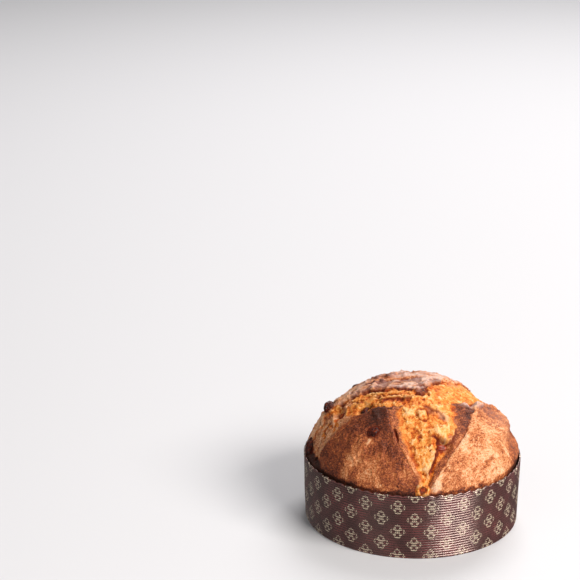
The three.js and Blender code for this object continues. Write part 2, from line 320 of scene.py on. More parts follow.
def cut_slope(xy, flap):
    """How fully each point is on a flap's cut side, and its share of the way down from the crest."""
    crest = flap_edges(flap)[0]
    down = np.linspace(0, 1, len(crest))
    gap, beside = along(xy, np.column_stack([crest, down]))
    gap = np.abs(gap)
    width = np.interp(beside[:, 2], [0, 1], flap["cut"])
    within = smooth(-0.8, 0.8, width - gap) * smooth(0, 0.06, beside[:, 2])
    return within, np.clip(gap / width, 0, 1)


# ---- tools for making pieces --------------------------------------------------------------------


def linear(colour):
    """A '#rrggbb' colour as linear RGBA."""
    channels = [int(colour[i : i + 2], 16) / 255 for i in (1, 3, 5)]
    return [c / 12.92 if c <= 0.04045 else ((c + 0.055) / 1.055) ** 2.4 for c in channels] + [1.0]


def set_inputs(node, values):
    """Gives a node's inputs their values, or links them to other nodes or their outputs."""
    for key, value in values.items():
        if isinstance(value, bpy.types.Node):
            value = value.outputs[0]
        if isinstance(value, bpy.types.NodeSocket):
            node.id_data.links.new(value, node.inputs[key])
        else:
            node.inputs[key].default_value = value


def add_node(tree, kind, *values, inputs=None, stops=None, **settings):
    """Adds a node, as its kind or 'kind OPERATION', with its inputs in order or by name or number."""
    kind, _, operation = kind.partition(" ")
    made = tree.nodes.new("ShaderNode" + kind)
    if operation:
        settings["operation"] = operation
    for name, value in settings.items():
        setattr(made, name, value)
    if stops:
        elements = made.color_ramp.elements
        while len(elements) < len(stops):
            elements.new(0.5)
        for element, (position, colour) in zip(elements, stops):
            element.position = position
            element.color = linear(colour)
    set_inputs(made, dict(enumerate(values)) | (inputs or {}))
    return made


def new_material(name):
    """An empty node material, what adds a node to it, and its Principled shader, already linked."""
    material = bpy.data.materials.new(name)
    material.use_nodes = True
    tree = material.node_tree
    tree.nodes.clear()
    shader = add_node(tree, "BsdfPrincipled")
    add_node(tree, "OutputMaterial", shader)
    return material, partial(add_node, tree), shader


def take(values, name, obj):
    """Stores one number for each vertex, which the piece's material reads by its name."""
    attribute = obj.data.attributes.new(name, "FLOAT", "POINT")
    attribute.data.foreach_set("value", np.asarray(values, np.float32))


def places(obj):
    """The places of a mesh's vertices, in millimetres."""
    flat = np.zeros(len(obj.data.vertices) * 3, np.float32)
    obj.data.vertices.foreach_get("co", flat)
    return flat.reshape(-1, 3).astype(float) / MM


def move_to(obj, points):
    """Moves a mesh's vertices to places given in millimetres."""
    obj.data.vertices.foreach_set("co", (points * MM).astype(np.float32).ravel())
    obj.data.update()


def start():
    """Deselects everything and leaves edit mode, so that an operator acts on its own piece only."""
    if bpy.context.object and bpy.context.object.mode != "OBJECT":
        bpy.ops.object.mode_set(mode="OBJECT")
    bpy.ops.object.select_all(action="DESELECT")


def activate(obj):
    """Makes one piece the selected and active one."""
    start()
    obj.select_set(True)
    bpy.context.view_layer.objects.active = obj


@contextmanager
def edit_mode(select=None):
    """Edit mode for the lines inside it, with everything or nothing selected first if asked."""
    bpy.ops.object.mode_set(mode="EDIT")
    if select:
        bpy.ops.mesh.select_all(action=select)
    yield
    bpy.ops.object.mode_set(mode="OBJECT")


def apply_modifiers(obj):
    """Applies every modifier of a piece, in order."""
    activate(obj)
    for modifier in list(obj.modifiers):
        bpy.ops.object.modifier_apply(modifier=modifier.name)


def draw_rings(radius, height, rings):
    """Draws the selected edge ring out through further (radius, height) rings, given in millimetres."""
    for next_radius, next_height in rings:
        rise = (0, 0, (next_height - height) * MM)
        bpy.ops.mesh.extrude_region_move(TRANSFORM_OT_translate={"value": rise})
        scale = next_radius / radius
        bpy.ops.transform.resize(value=(scale, scale, 1), center_override=(0, 0, 0))
        radius, height = next_radius, next_height


def finish_piece(obj, name, slot, material, *nodes):
    """Names a piece, gives it its finish, sets it on its body and hides the CAD nodes that it stands for."""
    obj.name = obj.data.name = name
    obj.data.materials.clear()
    obj.data.materials.append(material)
    activate(obj)
    bpy.ops.object.transform_apply(location=True, rotation=True, scale=True)
    bpy.ops.object.shade_smooth()
    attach(obj, BODY)
    if nodes:
        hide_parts(*nodes)
    return obj


# ---- settings -----------------------------------------------------------------------------------


class MouldSettings(bpy.types.PropertyGroup):
    """The paper mould's make and colours."""

    rib_depth: FloatProperty(
        name="Rib depth", description="How far a rib of the fluted board stands proud",
        default=0.9 * MM, unit="LENGTH")
    waver: FloatProperty(
        name="Waver", description="How far the soft paper wall bows in and out",
        default=0.55 * MM, unit="LENGTH")
    ink: FloatVectorProperty(
        name="Ink", description="The pale gold of the printed rosettes", subtype="COLOR", size=4,
        default=linear("#e9dcc0"))


class LoafSettings(bpy.types.PropertyGroup):
    """The loaf's surface."""

    cells_across: IntProperty(
        name="Cells across", description="Faces across the dome's fine surface", default=292, min=60)
    crumb_drop: FloatProperty(
        name="Crumb drop", description="How far the torn crumb lies under the crust",
        default=4.6 * MM, unit="LENGTH")
    lip: FloatProperty(
        name="Lip", description="How far the crust's torn edge curls up", default=1.6 * MM, unit="LENGTH")
    overhang: FloatProperty(
        name="Overhang", description="How far the crust's edge reaches out over the crumb",
        default=1.9 * MM, unit="LENGTH")


class StageSettings(bpy.types.PropertyGroup):
    """The camera and the lights."""

    lens: FloatProperty(
        name="Lens", description="The camera's focal length in millimetres", default=111.7)
    distance: FloatProperty(
        name="Distance", description="From the camera to the loaf's middle", default=1.8, unit="LENGTH")
    elevation: FloatProperty(
        name="Elevation", description="The camera's height above the loaf, as an angle",
        default=math.radians(23.9), unit="ROTATION")
    aim_left: FloatProperty(
        name="Aim left", description="How far left of the loaf the camera looks",
        default=math.radians(4.21), unit="ROTATION")
    aim_up: FloatProperty(
        name="Aim up", description="How far above the loaf the camera looks",
        default=math.radians(5.5), unit="ROTATION")


# ---- materials ----------------------------------------------------------------------------------
# A Mix node blends two colours: its inputs 0, 6 and 7 are the share and the colours, its output 2 the
# blend. A MapRange takes a value, the range it comes in, and the range it leaves in.


def board_material(settings):
    """Fluted kraft board, printed brown with pale gold rosettes: a satin streak from the ink's varnish."""
    material, add, shader = new_material("printed_fluted_board")
    place = add("TexCoord").outputs["Object"]
    x, y, z = add("SeparateXYZ", place).outputs
    front = PRINT_COLUMNS * 1.25 - PRINT_TURN + 0.5  # the column count at +X, so that it is whole in front
    column = add("Math MULTIPLY_ADD", add("Math ARCTAN2", y, x), PRINT_COLUMNS / math.tau, front)
    odd = add("Math MODULO", add("Math FLOOR", column), 2.0)
    up = add("Math MULTIPLY_ADD", z, 1 / (PRINT_PITCH * MM), 2.5 - PRINT_RISE / PRINT_PITCH)
    row = add("Math MULTIPLY_ADD", odd, 0.5, up)

    def from_middle(counted, pitch):
        """How many mm a place counted in columns or rows lies from the middle of its own."""
        share = add("Math SUBTRACT", add("Math FRACT", counted), 0.5)
        return add("Math ABSOLUTE", add("Math MULTIPLY", share, pitch))

    across = from_middle(column, math.tau * RIM_RADIUS / PRINT_COLUMNS)
    rise = from_middle(row, PRINT_PITCH)
    outer, inner = add("Math MAXIMUM", across, rise), add("Math MINIMUM", across, rise)

    def gap_to_ring(out, aside, radius):
        """How far outside a ring a point is, with the ring set out along the petal and aside."""
        along_petal = add("Math POWER", add("Math SUBTRACT", outer, out), 2.0)
        beside_it = add("Math POWER", add("Math SUBTRACT", inner, aside), 2.0)
        return add("Math SUBTRACT", add("Math SQRT", add("Math ADD", along_petal, beside_it)), radius)

    def inked(gap, half_width):
        """1 where the gap is under half_width, with a slightly soft edge."""
        return add("MapRange", gap, half_width - INK_EDGE, half_width + INK_EDGE, 1.0, 0.0)

    outline = add("Math MINIMUM", gap_to_ring(*PETAL), gap_to_ring(*PETAL_LOBE))
    line = inked(add("Math ABSOLUTE", outline), LINE)
    tip, spur = inked(gap_to_ring(*PETAL_TIP), DOT), inked(gap_to_ring(*SPUR), DOT)
    heart = inked(add("Math ADD", outer, inner), HEART)
    drawn = add("Math MAXIMUM", add("Math MAXIMUM", line, tip), add("Math MAXIMUM", heart, spur))

    worn = add("TexNoise", inputs={"Vector": place, "Scale": 0.9 / MM, "Detail": 3.0})
    laid = add("Math MULTIPLY", drawn, add("Math MULTIPLY_ADD", worn, 0.9, 0.45))
    covered = add("Math MINIMUM", laid, 1.0)
    mottle = add("TexNoise", inputs={"Vector": place, "Scale": 0.055 / MM, "Detail": 5.0})
    brown = add("ValToRGB", mottle, stops=[(0.3, "#3e1c1b"), (0.5, "#562a29"), (0.72, "#74393a")])
    printed = add("Mix", inputs={0: covered, 6: brown, 7: settings.ink}, data_type="RGBA").outputs[2]

    # Painted shade: toward each flute's valley the colour is darkened to near-black, where the flutes shade
    # each other.
    rib = add("Math FRACT", add("Math MULTIPLY", z, FLUTES / (WALL_HEIGHT * MM)))
    from_crest = add("Math ABSOLUTE", add("Math MULTIPLY_ADD", rib, 2.0, -1.0))
    creased = add("MapRange", from_crest, 0.35, 0.85, 0.0, 0.92)
    shaded = {0: creased, 6: printed, 7: linear("#1f1413")}
    printed = add("Mix", inputs=shaded, data_type="RGBA").outputs[2]
    fibre = add("TexNoise", inputs={"Vector": place, "Scale": 1.4 / MM, "Detail": 4.0})
    bump = add("Bump", inputs={"Height": fibre, "Strength": 0.15, "Distance": 0.2 * MM})
    set_inputs(shader, {
        "Base Color": printed, "Roughness": 0.23, "IOR": 1.8, "Specular IOR Level": 1.0,
        "Specular Tint": linear("#ffe6e0"), "Normal": bump})
    return material


def base_material():
    """Plain kraft board, unprinted and matt, with its long fibres showing."""
    material, add, shader = new_material("plain_kraft_board")
    place = add("TexCoord").outputs["Object"]
    fibre = add("TexNoise", inputs={"Vector": place, "Scale": 0.5 / MM, "Detail": 6.0, "Roughness": 0.7})
    toned = add("ValToRGB", fibre, stops=[(0.3, "#3c2420"), (0.55, "#523229"), (0.8, "#6a463a")])
    bump = add("Bump", inputs={"Height": fibre, "Strength": 0.3, "Distance": 0.3 * MM})
    set_inputs(shader, {"Base Color": toned, "Roughness": 0.8, "Normal": bump})
    return material


def loaf_material():
    """Baked enriched dough: a satin, mottled brown crust, and open golden crumb that light enters."""
    material, add, shader = new_material("baked_crust_and_crumb")
    place = add("TexCoord").outputs["Object"]
    skin, baked, rose, glow, pit = [
        add("Attribute", attribute_name=name).outputs["Fac"] for name in LOOKS]

    def speckle(size_mm, detail, roughness=0.6):
        """Noise about 0, with spots about size_mm across."""
        spots = {"Vector": place, "Scale": 1.0 / (size_mm * MM), "Detail": detail, "Roughness": roughness}
        return add("Math SUBTRACT", add("TexNoise", inputs=spots), 0.5)

    fine, medium, broad = speckle(1.25, 2.0, 0.7), speckle(3.6, 3.0), speckle(12.0, 2.0)
    mottle = add("Math MULTIPLY_ADD", fine, 1.35, add("Math MULTIPLY", medium, 0.45))
    browned = add("Math ADD", baked, add("Math MULTIPLY_ADD", broad, 0.4, mottle))
    crust = add("ValToRGB", browned, stops=[
        (0.0, "#f0c09a"), (0.22, "#dc9865"), (0.42, "#b86838"), (0.60, "#8c4628"),
        (0.78, "#5f2d1e"), (1.0, "#36190f")])
    # A pale pink bloom, which on the crown and on the right tip's ledge is a painted sheen and a painted
    # highlight.
    rosy = add("Math MULTIPLY", rose, add("MapRange", mottle, -0.3, 0.25, 0.0, 1.15), use_clamp=True)
    crust = add("Mix", inputs={0: rosy, 6: crust, 7: linear("#dfc8c0")}, data_type="RGBA").outputs[2]

    uneven = add("Math MULTIPLY_ADD", broad, 0.35, add("Math MULTIPLY", mottle, 0.8))
    crumb = add("ValToRGB", add("Math ADD", glow, uneven), stops=[
        (0.0, "#7e2c0a"), (0.2, "#a8460f"), (0.4, "#ca641c"), (0.58, "#de8838"),
        (0.78, "#eda454"), (1.0, "#f6c48c")])
    skinned = add("MapRange", add("Math MULTIPLY_ADD", fine, 0.5, skin), 0.35, 0.65, 0.0, 1.0)
    bread = add("Mix", inputs={0: skinned, 6: crumb, 7: crust}, data_type="RGBA").outputs[2]
    # Painted shade: the dark red laid in here stands for the shade in holes, cracks, tears and grooves and
    # round the fruit, and in one place for a scorch.
    bread = add("Mix", inputs={0: pit, 6: bread, 7: linear("#641a03")}, data_type="RGBA").outputs[2]
    pores = add("TexVoronoi", inputs={"Vector": place, "Scale": 1.0 / (1.3 * MM)})
    grain = add("Math MULTIPLY_ADD", pores, 0.35, add("Math MULTIPLY_ADD", medium, 1.4, fine))
    set_inputs(shader, {
        "Base Color": bread,
        "Roughness": add("MapRange", skinned, 0.0, 1.0, 0.6, 0.56),
        "Specular IOR Level": 0.25,
        "Subsurface Weight": 0.1,
        "Subsurface Radius": (1.0, 0.5, 0.25),
        "Subsurface Scale": 1.5 * MM,
        "Normal": add("Bump", inputs={"Height": grain, "Strength": 0.7, "Distance": 0.9 * MM})})
    return material


def raisin_material():
    """Baked raisin: near-black brown skin with a sticky gloss on its folds."""
    material, add, shader = new_material("baked_raisin")
    place = add("TexCoord").outputs["Object"]
    mottle = add("TexNoise", inputs={"Vector": place, "Scale": 0.42 / MM, "Detail": 4.0})
    set_inputs(shader, {
        "Base Color": add("ValToRGB", mottle, stops=[
            (0.35, "#200704"), (0.55, "#4a150a"), (0.72, "#8c3a14")]),
        "Roughness": 0.4,
        "Specular IOR Level": 0.22,
        "Coat Weight": 0.12,
        "Coat Roughness": 0.2,
        "Normal": add("Bump", inputs={"Height": mottle, "Strength": 0.4, "Distance": 0.4 * MM})})
    return material


def peel_material():
    """Candied orange peel: amber, waxy, and lit from within, with a sugar glaze."""
    material, add, shader = new_material("candied_orange_peel")
    place = add("TexCoord").outputs["Object"]
    mottle = add("TexNoise", inputs={"Vector": place, "Scale": 0.3 / MM, "Detail": 3.0})
    set_inputs(shader, {
        "Base Color": add("ValToRGB", mottle, stops=[
            (0.3, "#5a1204"), (0.5, "#8a2a08"), (0.72, "#c85e18")]),
        "Roughness": 0.42,
        "Specular IOR Level": 0.25,
        "Subsurface Weight": 0.35,
        "Subsurface Radius": (1.0, 0.4, 0.1),
        "Subsurface Scale": 3.0 * MM,
        "Coat Weight": 0.1,
        "Coat Roughness": 0.15,
        "Normal": add("Bump", inputs={"Height": mottle, "Strength": 0.3, "Distance": 0.4 * MM})})
    return material


def floor_material():
    """A seamless pale paper sweep: matt, so that it only catches soft shadows."""
    material, _, shader = new_material("pale_floor")
    set_inputs(shader, {"Base Color": linear("#d8dce2"), "Roughness": 0.9})
    return material


# ---- the mould ----------------------------------------------------------------------------------


class PANETTONE_OT_mould(bpy.types.Operator):
    """Makes the fluted band: one rib's section, repeated up the wall and turned about the middle"""

    bl_idname = "panettone.mould"
    bl_label = "Fluted band"

    def execute(self, context):
        settings = context.scene.panettone_mould
        pitch = WALL_HEIGHT / FLUTES
        foot = FOOT_RADIUS - settings.rib_depth / MM
        start()
        bpy.ops.mesh.primitive_circle_add(vertices=2 * RIB_STEPS, radius=pitch / 2 * MM,
                                          location=(foot * MM, 0, pitch / 2 * MM),
                                          rotation=(math.pi / 2, 0, 0))
        band = context.object
        bpy.ops.object.transform_apply(location=True, rotation=True, scale=True)
        self.select_only(band, np.flatnonzero(places(band)[:, 0] <= foot - 0.01))
        flatten = settings.rib_depth / (pitch / 2 * MM)
        with edit_mode():
            bpy.ops.mesh.delete(type="VERT")
            bpy.ops.mesh.select_all(action="SELECT")
            bpy.ops.transform.resize(value=(flatten, 1, 1), center_override=(foot * MM, 0, 0))
        ribs = band.modifiers.new("ribs", "ARRAY")
        ribs.count = FLUTES
        ribs.use_relative_offset = False
        ribs.use_constant_offset = True
        ribs.constant_offset_displace = (0, 0, pitch * MM)
        ribs.use_merge_vertices = True
        ribs.merge_threshold = 0.01 * MM
        apply_modifiers(band)
        self.close_section(band)
        turn = band.modifiers.new("turn", "SCREW")
        turn.steps = turn.render_steps = SCALLOPS * STEPS_PER_SCALLOP
        turn.angle = math.tau
        turn.axis = "Z"
        turn.use_merge_vertices = True
        turn.merge_threshold = 0.02 * MM
        apply_modifiers(band)
        with edit_mode("SELECT"):
            bpy.ops.mesh.normals_make_consistent(inside=False)
        move_to(band, self.worn(places(band), settings))
        finish_piece(band, "printed_band", "printed_board", board_material(settings), "case_wall")
        return {"FINISHED"}

    def select_only(self, band, numbers):
        """Leaves only the vertices of these numbers selected."""
        with edit_mode("DESELECT"):
            bpy.ops.mesh.select_mode(type="VERT")
        for number in numbers:
            band.data.vertices[number].select = True

    def close_section(self, band):
        """Carries the ribs' section round over the rim and down the smooth liner inside."""
        points = places(band)
        inner = FOOT_RADIUS - BOARD
        top = int(np.argmax(points[:, 2] + points[:, 0] * 0.001))
        foot = int(np.argmin(points[:, 2] - points[:, 0] * 0.001))
        self.select_only(band, [top])
        steps = 8
        moves = [(inner - points[top, 0], 0, 0)] + steps * [(0, 0, -WALL_HEIGHT / steps)]
        with edit_mode():
            for move in moves:
                bpy.ops.mesh.extrude_region_move(TRANSFORM_OT_translate={"value": Vector(move) * MM})
        band.data.vertices[foot].select = True
        with edit_mode():
            bpy.ops.mesh.edge_face_add()

    def worn(self, points, settings):
        """The band leant out, cut to its wavy edge, lapped, and wavering as soft paper does."""
        x, y, z = points.T
        angle = np.arctan2(y, x)
        share = z / WALL_HEIGHT
        swell = (RIM_RADIUS - FOOT_RADIUS) * share
        away = np.abs(np.degrees(angle) - LAP_ANGLE)
        outside = np.hypot(x, y) > FOOT_RADIUS - BOARD / 2
        half = math.degrees(LAP_WIDTH / 2 / RIM_RADIUS)
        swell += LAP_STEP * outside * (1 - smooth(half - 0.25, half + 0.25, away))
        swell += settings.waver / MM * self.bowing(angle, z)
        top = WALL_HEIGHT * (1 - CUT_RIBS / FLUTES)
        wave = 1 - np.abs(np.cos(angle * SCALLOPS / 2))
        cut = SCALLOP_DEPTH * wave * np.clip((z - top) / (WALL_HEIGHT - top), 0, 1)
        r = np.hypot(x, y) + swell
        most = RIM_RADIUS - 0.05
        across = [np.clip(r * np.cos(angle), -most, most), np.clip(r * np.sin(angle), -most, most)]
        return np.stack([*across, z - cut], axis=1)

    def bowing(self, angle, z):
        """Slow bows of the wall, which fade at the foot where the base holds it round."""
        around = np.stack([np.cos(angle) * 2.2, np.sin(angle) * 2.2, z / 60.0], axis=1)
        return fractal(around, 1.0, 2, seed=2.0) * smooth(0, 25, z) - 0.4


class PANETTONE_OT_base(bpy.types.Operator):
    """Makes the base: a disc with a pressed ring and a turned-up edge, drawn out ring by ring"""

    bl_idname = "panettone.base"
    bl_label = "Base disc"

    def execute(self, context):
        skirt, thickness = float(BASE_HIGH[0]), 1.0
        foot = skirt - 0.5
        start()
        bpy.ops.mesh.primitive_circle_add(vertices=192, radius=8 * MM, fill_type="NGON")
        base = context.object
        rings = [(30, 0), (60, 0), (84, 0), (85.5, 0.5), (88.5, 0.5), (90, 0), (foot - 1.2, 0),
                 (foot - 0.3, 0.3), (foot, 1.2), (skirt, SKIRT_HEIGHT), (skirt - 0.8, SKIRT_HEIGHT),
                 (foot - 0.8, thickness + 0.5), (foot - 1.4, thickness), (60, thickness), (8, thickness)]
        with edit_mode("SELECT"):
            bpy.ops.mesh.region_to_loop()
            draw_rings(8, 0, rings)
            bpy.ops.mesh.edge_face_add()
            bpy.ops.mesh.select_all(action="SELECT")
            bpy.ops.mesh.normals_make_consistent(inside=False)
        finish_piece(base, "kraft_base", "base_board", base_material(), "case_base")
        return {"FINISHED"}


# ---- the loaf -----------------------------------------------------------------------------------


def dome_height(r):
    """The smooth dome's height at a distance from the middle."""
    share = np.clip(r / DOME_RADIUS, 0, 1)
    return WALL_HEIGHT + DOME_HEIGHT * (1 - share**FULLNESS) ** SHOULDER - CROWN_DROP * bell(r, CROWN_WIDTH)


class Sheet:
    """The loaf's fine sheet while it is sculpted: each field holds one value for each vertex."""

    def __init__(self, dome, normal, settings):
        self.dome, self.normal, self.settings = dome, normal, settings
        self.x, self.y, self.z = dome.T
        self.r, self.angle = np.hypot(self.x, self.y), np.degrees(np.arctan2(self.y, self.x))
        noises = [fractal(dome, size, octaves, seed) for size, octaves, seed in DOUGH_NOISES]
        self.big, self.mid, self.small, self.tiny = noises
        self.ragged = np.stack([fractal(dome, 9, 4, seed) for seed in (5, 6)], axis=1)
        self.above = smooth(WALL_HEIGHT - 2, WALL_HEIGHT + 12, self.z)
        self.clear = smooth(WALL_HEIGHT - 1, WALL_HEIGHT + 4, self.z)
        self.height = np.zeros_like(self.x)
        self.looks = {name: np.zeros_like(self.x) for name in LOOKS}

    def near(self, place, width):
        """A bump of height 1 round a plan place, that fades over about width."""
        return bell(np.hypot(self.x - place[0], self.y - place[1]), width)

    def look(self, **strengths):
        """Adds to what the material reads."""
        for name, strength in strengths.items():
            self.looks[name] = self.looks[name] + strength

    def find_flaps(self):
        """Finds the flap each point is on or nearest to, how far it is inside, and the way out."""
        rag = (0.9 + 4.2 * smooth(-44, -28, self.y)) * smooth(108, 92, self.r)
        self.ragged_plan = self.dome[:, :2] + self.ragged * rag[:, None]
        inside = [depth_inside(flap_outline(flap), self.ragged_plan) for flap in FLAPS.values()]
        tear, tear_way = depth_inside(tear_outline(), self.ragged_plan)
        back, back_way = inside[BACK]
        torn = back > -tear
        inside[BACK] = np.minimum(back, -tear), np.where(torn[:, None], -tear_way, back_way)
        depths, ways = zip(*inside)
        which = np.argmax(depths, axis=0)
        self.depth = np.choose(which, depths)
        self.way = np.choose(which[:, None], ways)
        self.on, self.off = np.maximum(self.depth, 0), np.maximum(-self.depth, 0)
        self.which = which
        self.left, self.right, self.back = which == LEFT, which == RIGHT, which == BACK

    def drop_crumb(self):
        """Drops the crumb under the crust and down the two cut sides, and curls the crust's lip up."""
        # on the left the crust stretched thin and fades into the crumb, with no torn edge
        soft = self.back * self.near((-74, -2), 32)
        soft = np.maximum(soft, self.left * 0.5 * smooth(70, 96, self.r) * (self.y > -70))
        self.crust = smooth(-1, 1, self.depth / (0.7 + 8.0 * soft))
        slopes = [cut_slope(self.ragged_plan, FLAPS[name]) for name in ("front_left", "front_right")]
        self.slopes = [(within * (1 - self.crust), share) for within, share in slopes]
        sunk = np.ones_like(self.x)
        for within, share in self.slopes:
            sunk = sunk * (1 - within) + within * smooth(0, 1, share)
        self.on_slope = np.maximum(self.slopes[LEFT][0], self.slopes[RIGHT][0])
        self.cliff = self.above * (1 - soft) * (1 - self.on_slope) * np.where(self.back, 0.1, 1.0)
        shallow = np.maximum.reduce([share * self.near(place, width) for place, width, share in CRUMB_RISEN])
        deep = CRUMB_SUNK[2] * self.near(*CRUMB_SUNK[:2])
        drop = self.settings.crumb_drop / MM * (1 - shallow + deep)
        self.height = self.height - drop * (1 - self.crust) * sunk * self.clear
        lip = (self.depth > 0) * np.where(self.back, 0.12, 1.0) * np.where(self.left, 0.4, 1.0)
        self.height += self.settings.lip / MM * bell(self.on - 2.0, 2.8) * lip * self.above

    def swell(self):
        """Adds the loaf's own bulges and hollows, from the largest down."""
        for place, width, rise in SWELLS:
            self.height += rise * np.exp(-np.sum(((self.dome - place) / width) ** 2, axis=1))
        self.height += 1.1 * self.big * (0.3 + 0.7 * self.above)

    def bake_crust(self):
        """Browns the crust: darkest on the flaps' tips and where the side meets the mould."""
        (left_x, left_y), (right_x, right_y) = (FLAPS[name]["tip"] for name in ("front_left", "front_right"))
        left = 0.50 + 0.34 * self.near((left_x - 8, left_y - 4), 40)
        left = left - 0.20 * self.near((left_x - 18, left_y - 48), 16)
        right = 0.25 + 0.22 * self.near((right_x + 14, right_y + 12), 24)
        right = right + 0.28 * smooth(86, 102, self.x) * smooth(-60, -30, self.y)
        right = right + 0.13 * self.near((88, 2), 24) - 0.07 * self.near((66, -46), 18)
        back = 0.42 + 0.34 * smooth(2, 0, self.on) * smooth(30, 0, self.x) - 0.2 * smooth(-44, -66, self.x)
        uneven = 0.18 * self.big + 0.12 * self.mid + 0.06 * self.small + 0.10 * self.tiny
        burnt = smooth(WALL_HEIGHT + 3.5, WALL_HEIGHT, self.z + 3 * self.small)
        self.look(bake=np.choose(self.which, [left, right, back]) + uneven + 0.42 * burnt)

    def wrinkle_crust(self):
        """Gives the crust its blisters, the right flap its creases and grain, the crown its streaks."""
        right_crust, back_crust = self.right * self.crust, self.back * self.crust
        along_crease = 0.77 * self.x + 0.63 * self.y
        across_crease = 0.77 * self.y - 0.63 * self.x
        lean = np.stack([along_crease, across_crease * 4.4, self.z], axis=1)
        wrinkles = fractal(lean, 15, 3, 7)
        creased = smooth(0.06, 0.0, np.abs(wrinkles)) * right_crust * self.above
        creased = creased * smooth(-0.1, 0.3, self.mid + self.big)
        grained = fractal(lean, 4.5, 2, 14) * right_crust
        self.height += (0.9 * wrinkles * right_crust + 0.5 * grained) * self.above - 1.0 * creased
        uneven = 0.5 * self.mid + 0.35 * self.small + 0.32 * self.tiny
        self.height += uneven * self.crust * (0.35 + 0.65 * self.above)
        self.height += 1.1 * np.clip(self.small - 0.15, 0, 1) * self.crust * self.above
        streaks = fractal(self.dome * [0.35, 1.0, 1.0], 7, 3, 10)
        crazed = smooth(0.07, 0.0, np.abs(streaks)) * smooth(0.0, 0.3, self.big) * back_crust
        self.height += (0.6 * streaks - 0.8 * crazed) * self.back * self.above
        scraps = smooth(0.22, 0.4, fractal(self.dome, 7, 3, 11)) * self.back
        scraps = scraps * bell(self.x + 34, 20) * bell(self.y - 16, 18)
        self.height += 1.8 * scraps
        edge = smooth(0, 6 - 0.08 * np.clip(self.x, 0, 60), self.on)
        crown = self.back * smooth(98, 134, self.z) * smooth(64, 20, self.y) * edge
        # Painted sheen with a pale bloom on the crown's front, stronger towards the right and along its
        # streaks.
        frosted = crown * (0.45 + 0.75 * smooth(-40, 20, self.x)) * (0.7 + 1.6 * streaks)
        self.look(bake=0.28 * creased + 0.22 * grained + 0.3 * crazed + 0.4 * scraps,
                  rose=frosted + 0.15 * self.right * self.near((80, -6), 20))

    def tear_crumb(self):
        """Tears the crumb into lumps, stretched strands, cracks, holes and pores."""
        self.open_crumb = (1 - self.crust) * self.clear
        rough = self.open_crumb * (1 - 0.85 * self.on_slope)
        warped = self.dome + 2.5 * np.stack([self.mid, self.small, self.big], axis=1)
        banded = smooth(-34, -60, self.x)
        strands = 0.3 - np.abs(fractal(warped * [1.0, 1.0, 0.55], 8, 3, 8))
        drawn_out = 0.3 - np.abs(fractal(warped * [0.35, 1.0, 0.5], 5, 3, 12))
        strands = strands * (1 - banded) + drawn_out * banded
        lumps = (1.2 * self.mid + 0.6 * self.small) * (1 - 0.3 * banded)
        lumps = lumps + 0.35 * self.tiny + (1.3 + 0.7 * banded) * strands
        cracks = smooth(0.05, 0.0, np.abs(fractal(warped, 14, 3, 9))) * smooth(0.0, 0.25, self.mid) * rough
        airy = np.clip(self.big + 0.3, 0, 1) + 0.9 * self.near((-76, -20), 26)
        holes = smooth(0.0, 0.8, 1 - cells(warped, 7.0, 1) / (0.10 + 0.18 * airy)) * rough
        pores = smooth(0.0, 0.8, 1 - cells(self.dome, 2.8, 2) / 0.30) * rough
        self.height += lumps * rough
        self.height -= 1.8 * cracks + 2.2 * holes + 0.5 * pores
        tanned = 0.10 * self.on_slope + 0.12 * smooth(-36, -84, self.x)
        shaded = 0.16 * smooth(3, 0, self.off) * (1 - self.on_slope)
        paler_foot = 0.14 * smooth(-52, -84, self.y)
        # Painted light and shade: the raised lumps are made paler and the crumb just off the crust's edge
        # darker, and the cracks, holes and pores are laid in dark red as painted shade.
        self.look(glow=0.60 + 0.14 * lumps + 0.12 * self.tiny - shaded - tanned + paler_foot,
                  pit=0.65 * cracks + 0.65 * holes + 0.2 * pores)

    def tear_under_crown(self):
        """Tears the crumb twice in front of the crown: at the crust's edge, and a step further down."""
        front = self.back * (self.y < 10) * (np.abs(self.x) < 62)
        broken = smooth(-0.25, 0.25, self.mid + 0.6 * self.small + 0.12)
        at_edge = bell(self.off - 1.0, 1.5) * front * broken
        step_down = bell(self.off - 8.5 - 2.0 * self.big, 1.1) * front * (self.x < 12)
        step_down = step_down * smooth(-0.1, 0.3, self.small + 0.25)
        self.height -= 2.6 * at_edge + 1.8 * step_down
        # Painted shade: both tears are laid in dark red.
        self.look(pit=at_edge + 0.8 * step_down)

    def skin_over(self):
        """Skins the cut sides and the left band thinly with crust, and chars the dough at the left rim."""
        patchy = smooth(-0.4, -0.1, self.mid + 0.6 * self.small)
        stretched = smooth(-50, -68, self.x) * patchy * self.open_crumb
        charred = smooth(WALL_HEIGHT + 9, WALL_HEIGHT + 4, self.z + 3 * self.small) * smooth(-84, -95, self.x)
        self.height += 1.2 * charred * (1 + self.mid)
        (left, left_share), (right, right_share) = self.slopes
        skinned = 0.66 * left * smooth(1.1, 0.4, left_share + 0.2 * self.mid)
        torn_foot = smooth(0.95, 0.55, right_share + 0.35 * self.mid + 0.3 * self.small)
        layers = [self.crust, right * torn_foot, skinned, 0.85 * stretched, charred]
        self.looks["crust"] = np.maximum.reduce(layers)
        # Painted shade with real browning: the right flap's cut side is darkened, most near its crest and
        # towards the back.
        browned = right * (0.29 + 0.14 * smooth(84, 34, -self.y)) * (1.1 - 0.3 * right_share)
        self.look(bake=browned - 0.18 * left, rose=0.05 * stretched)
        thin = 0.2 + 0.25 * self.mid + 0.2 * self.small + 0.1 * self.tiny
        self.look(bake=stretched * (thin - self.looks["bake"]) + 0.8 * charred)

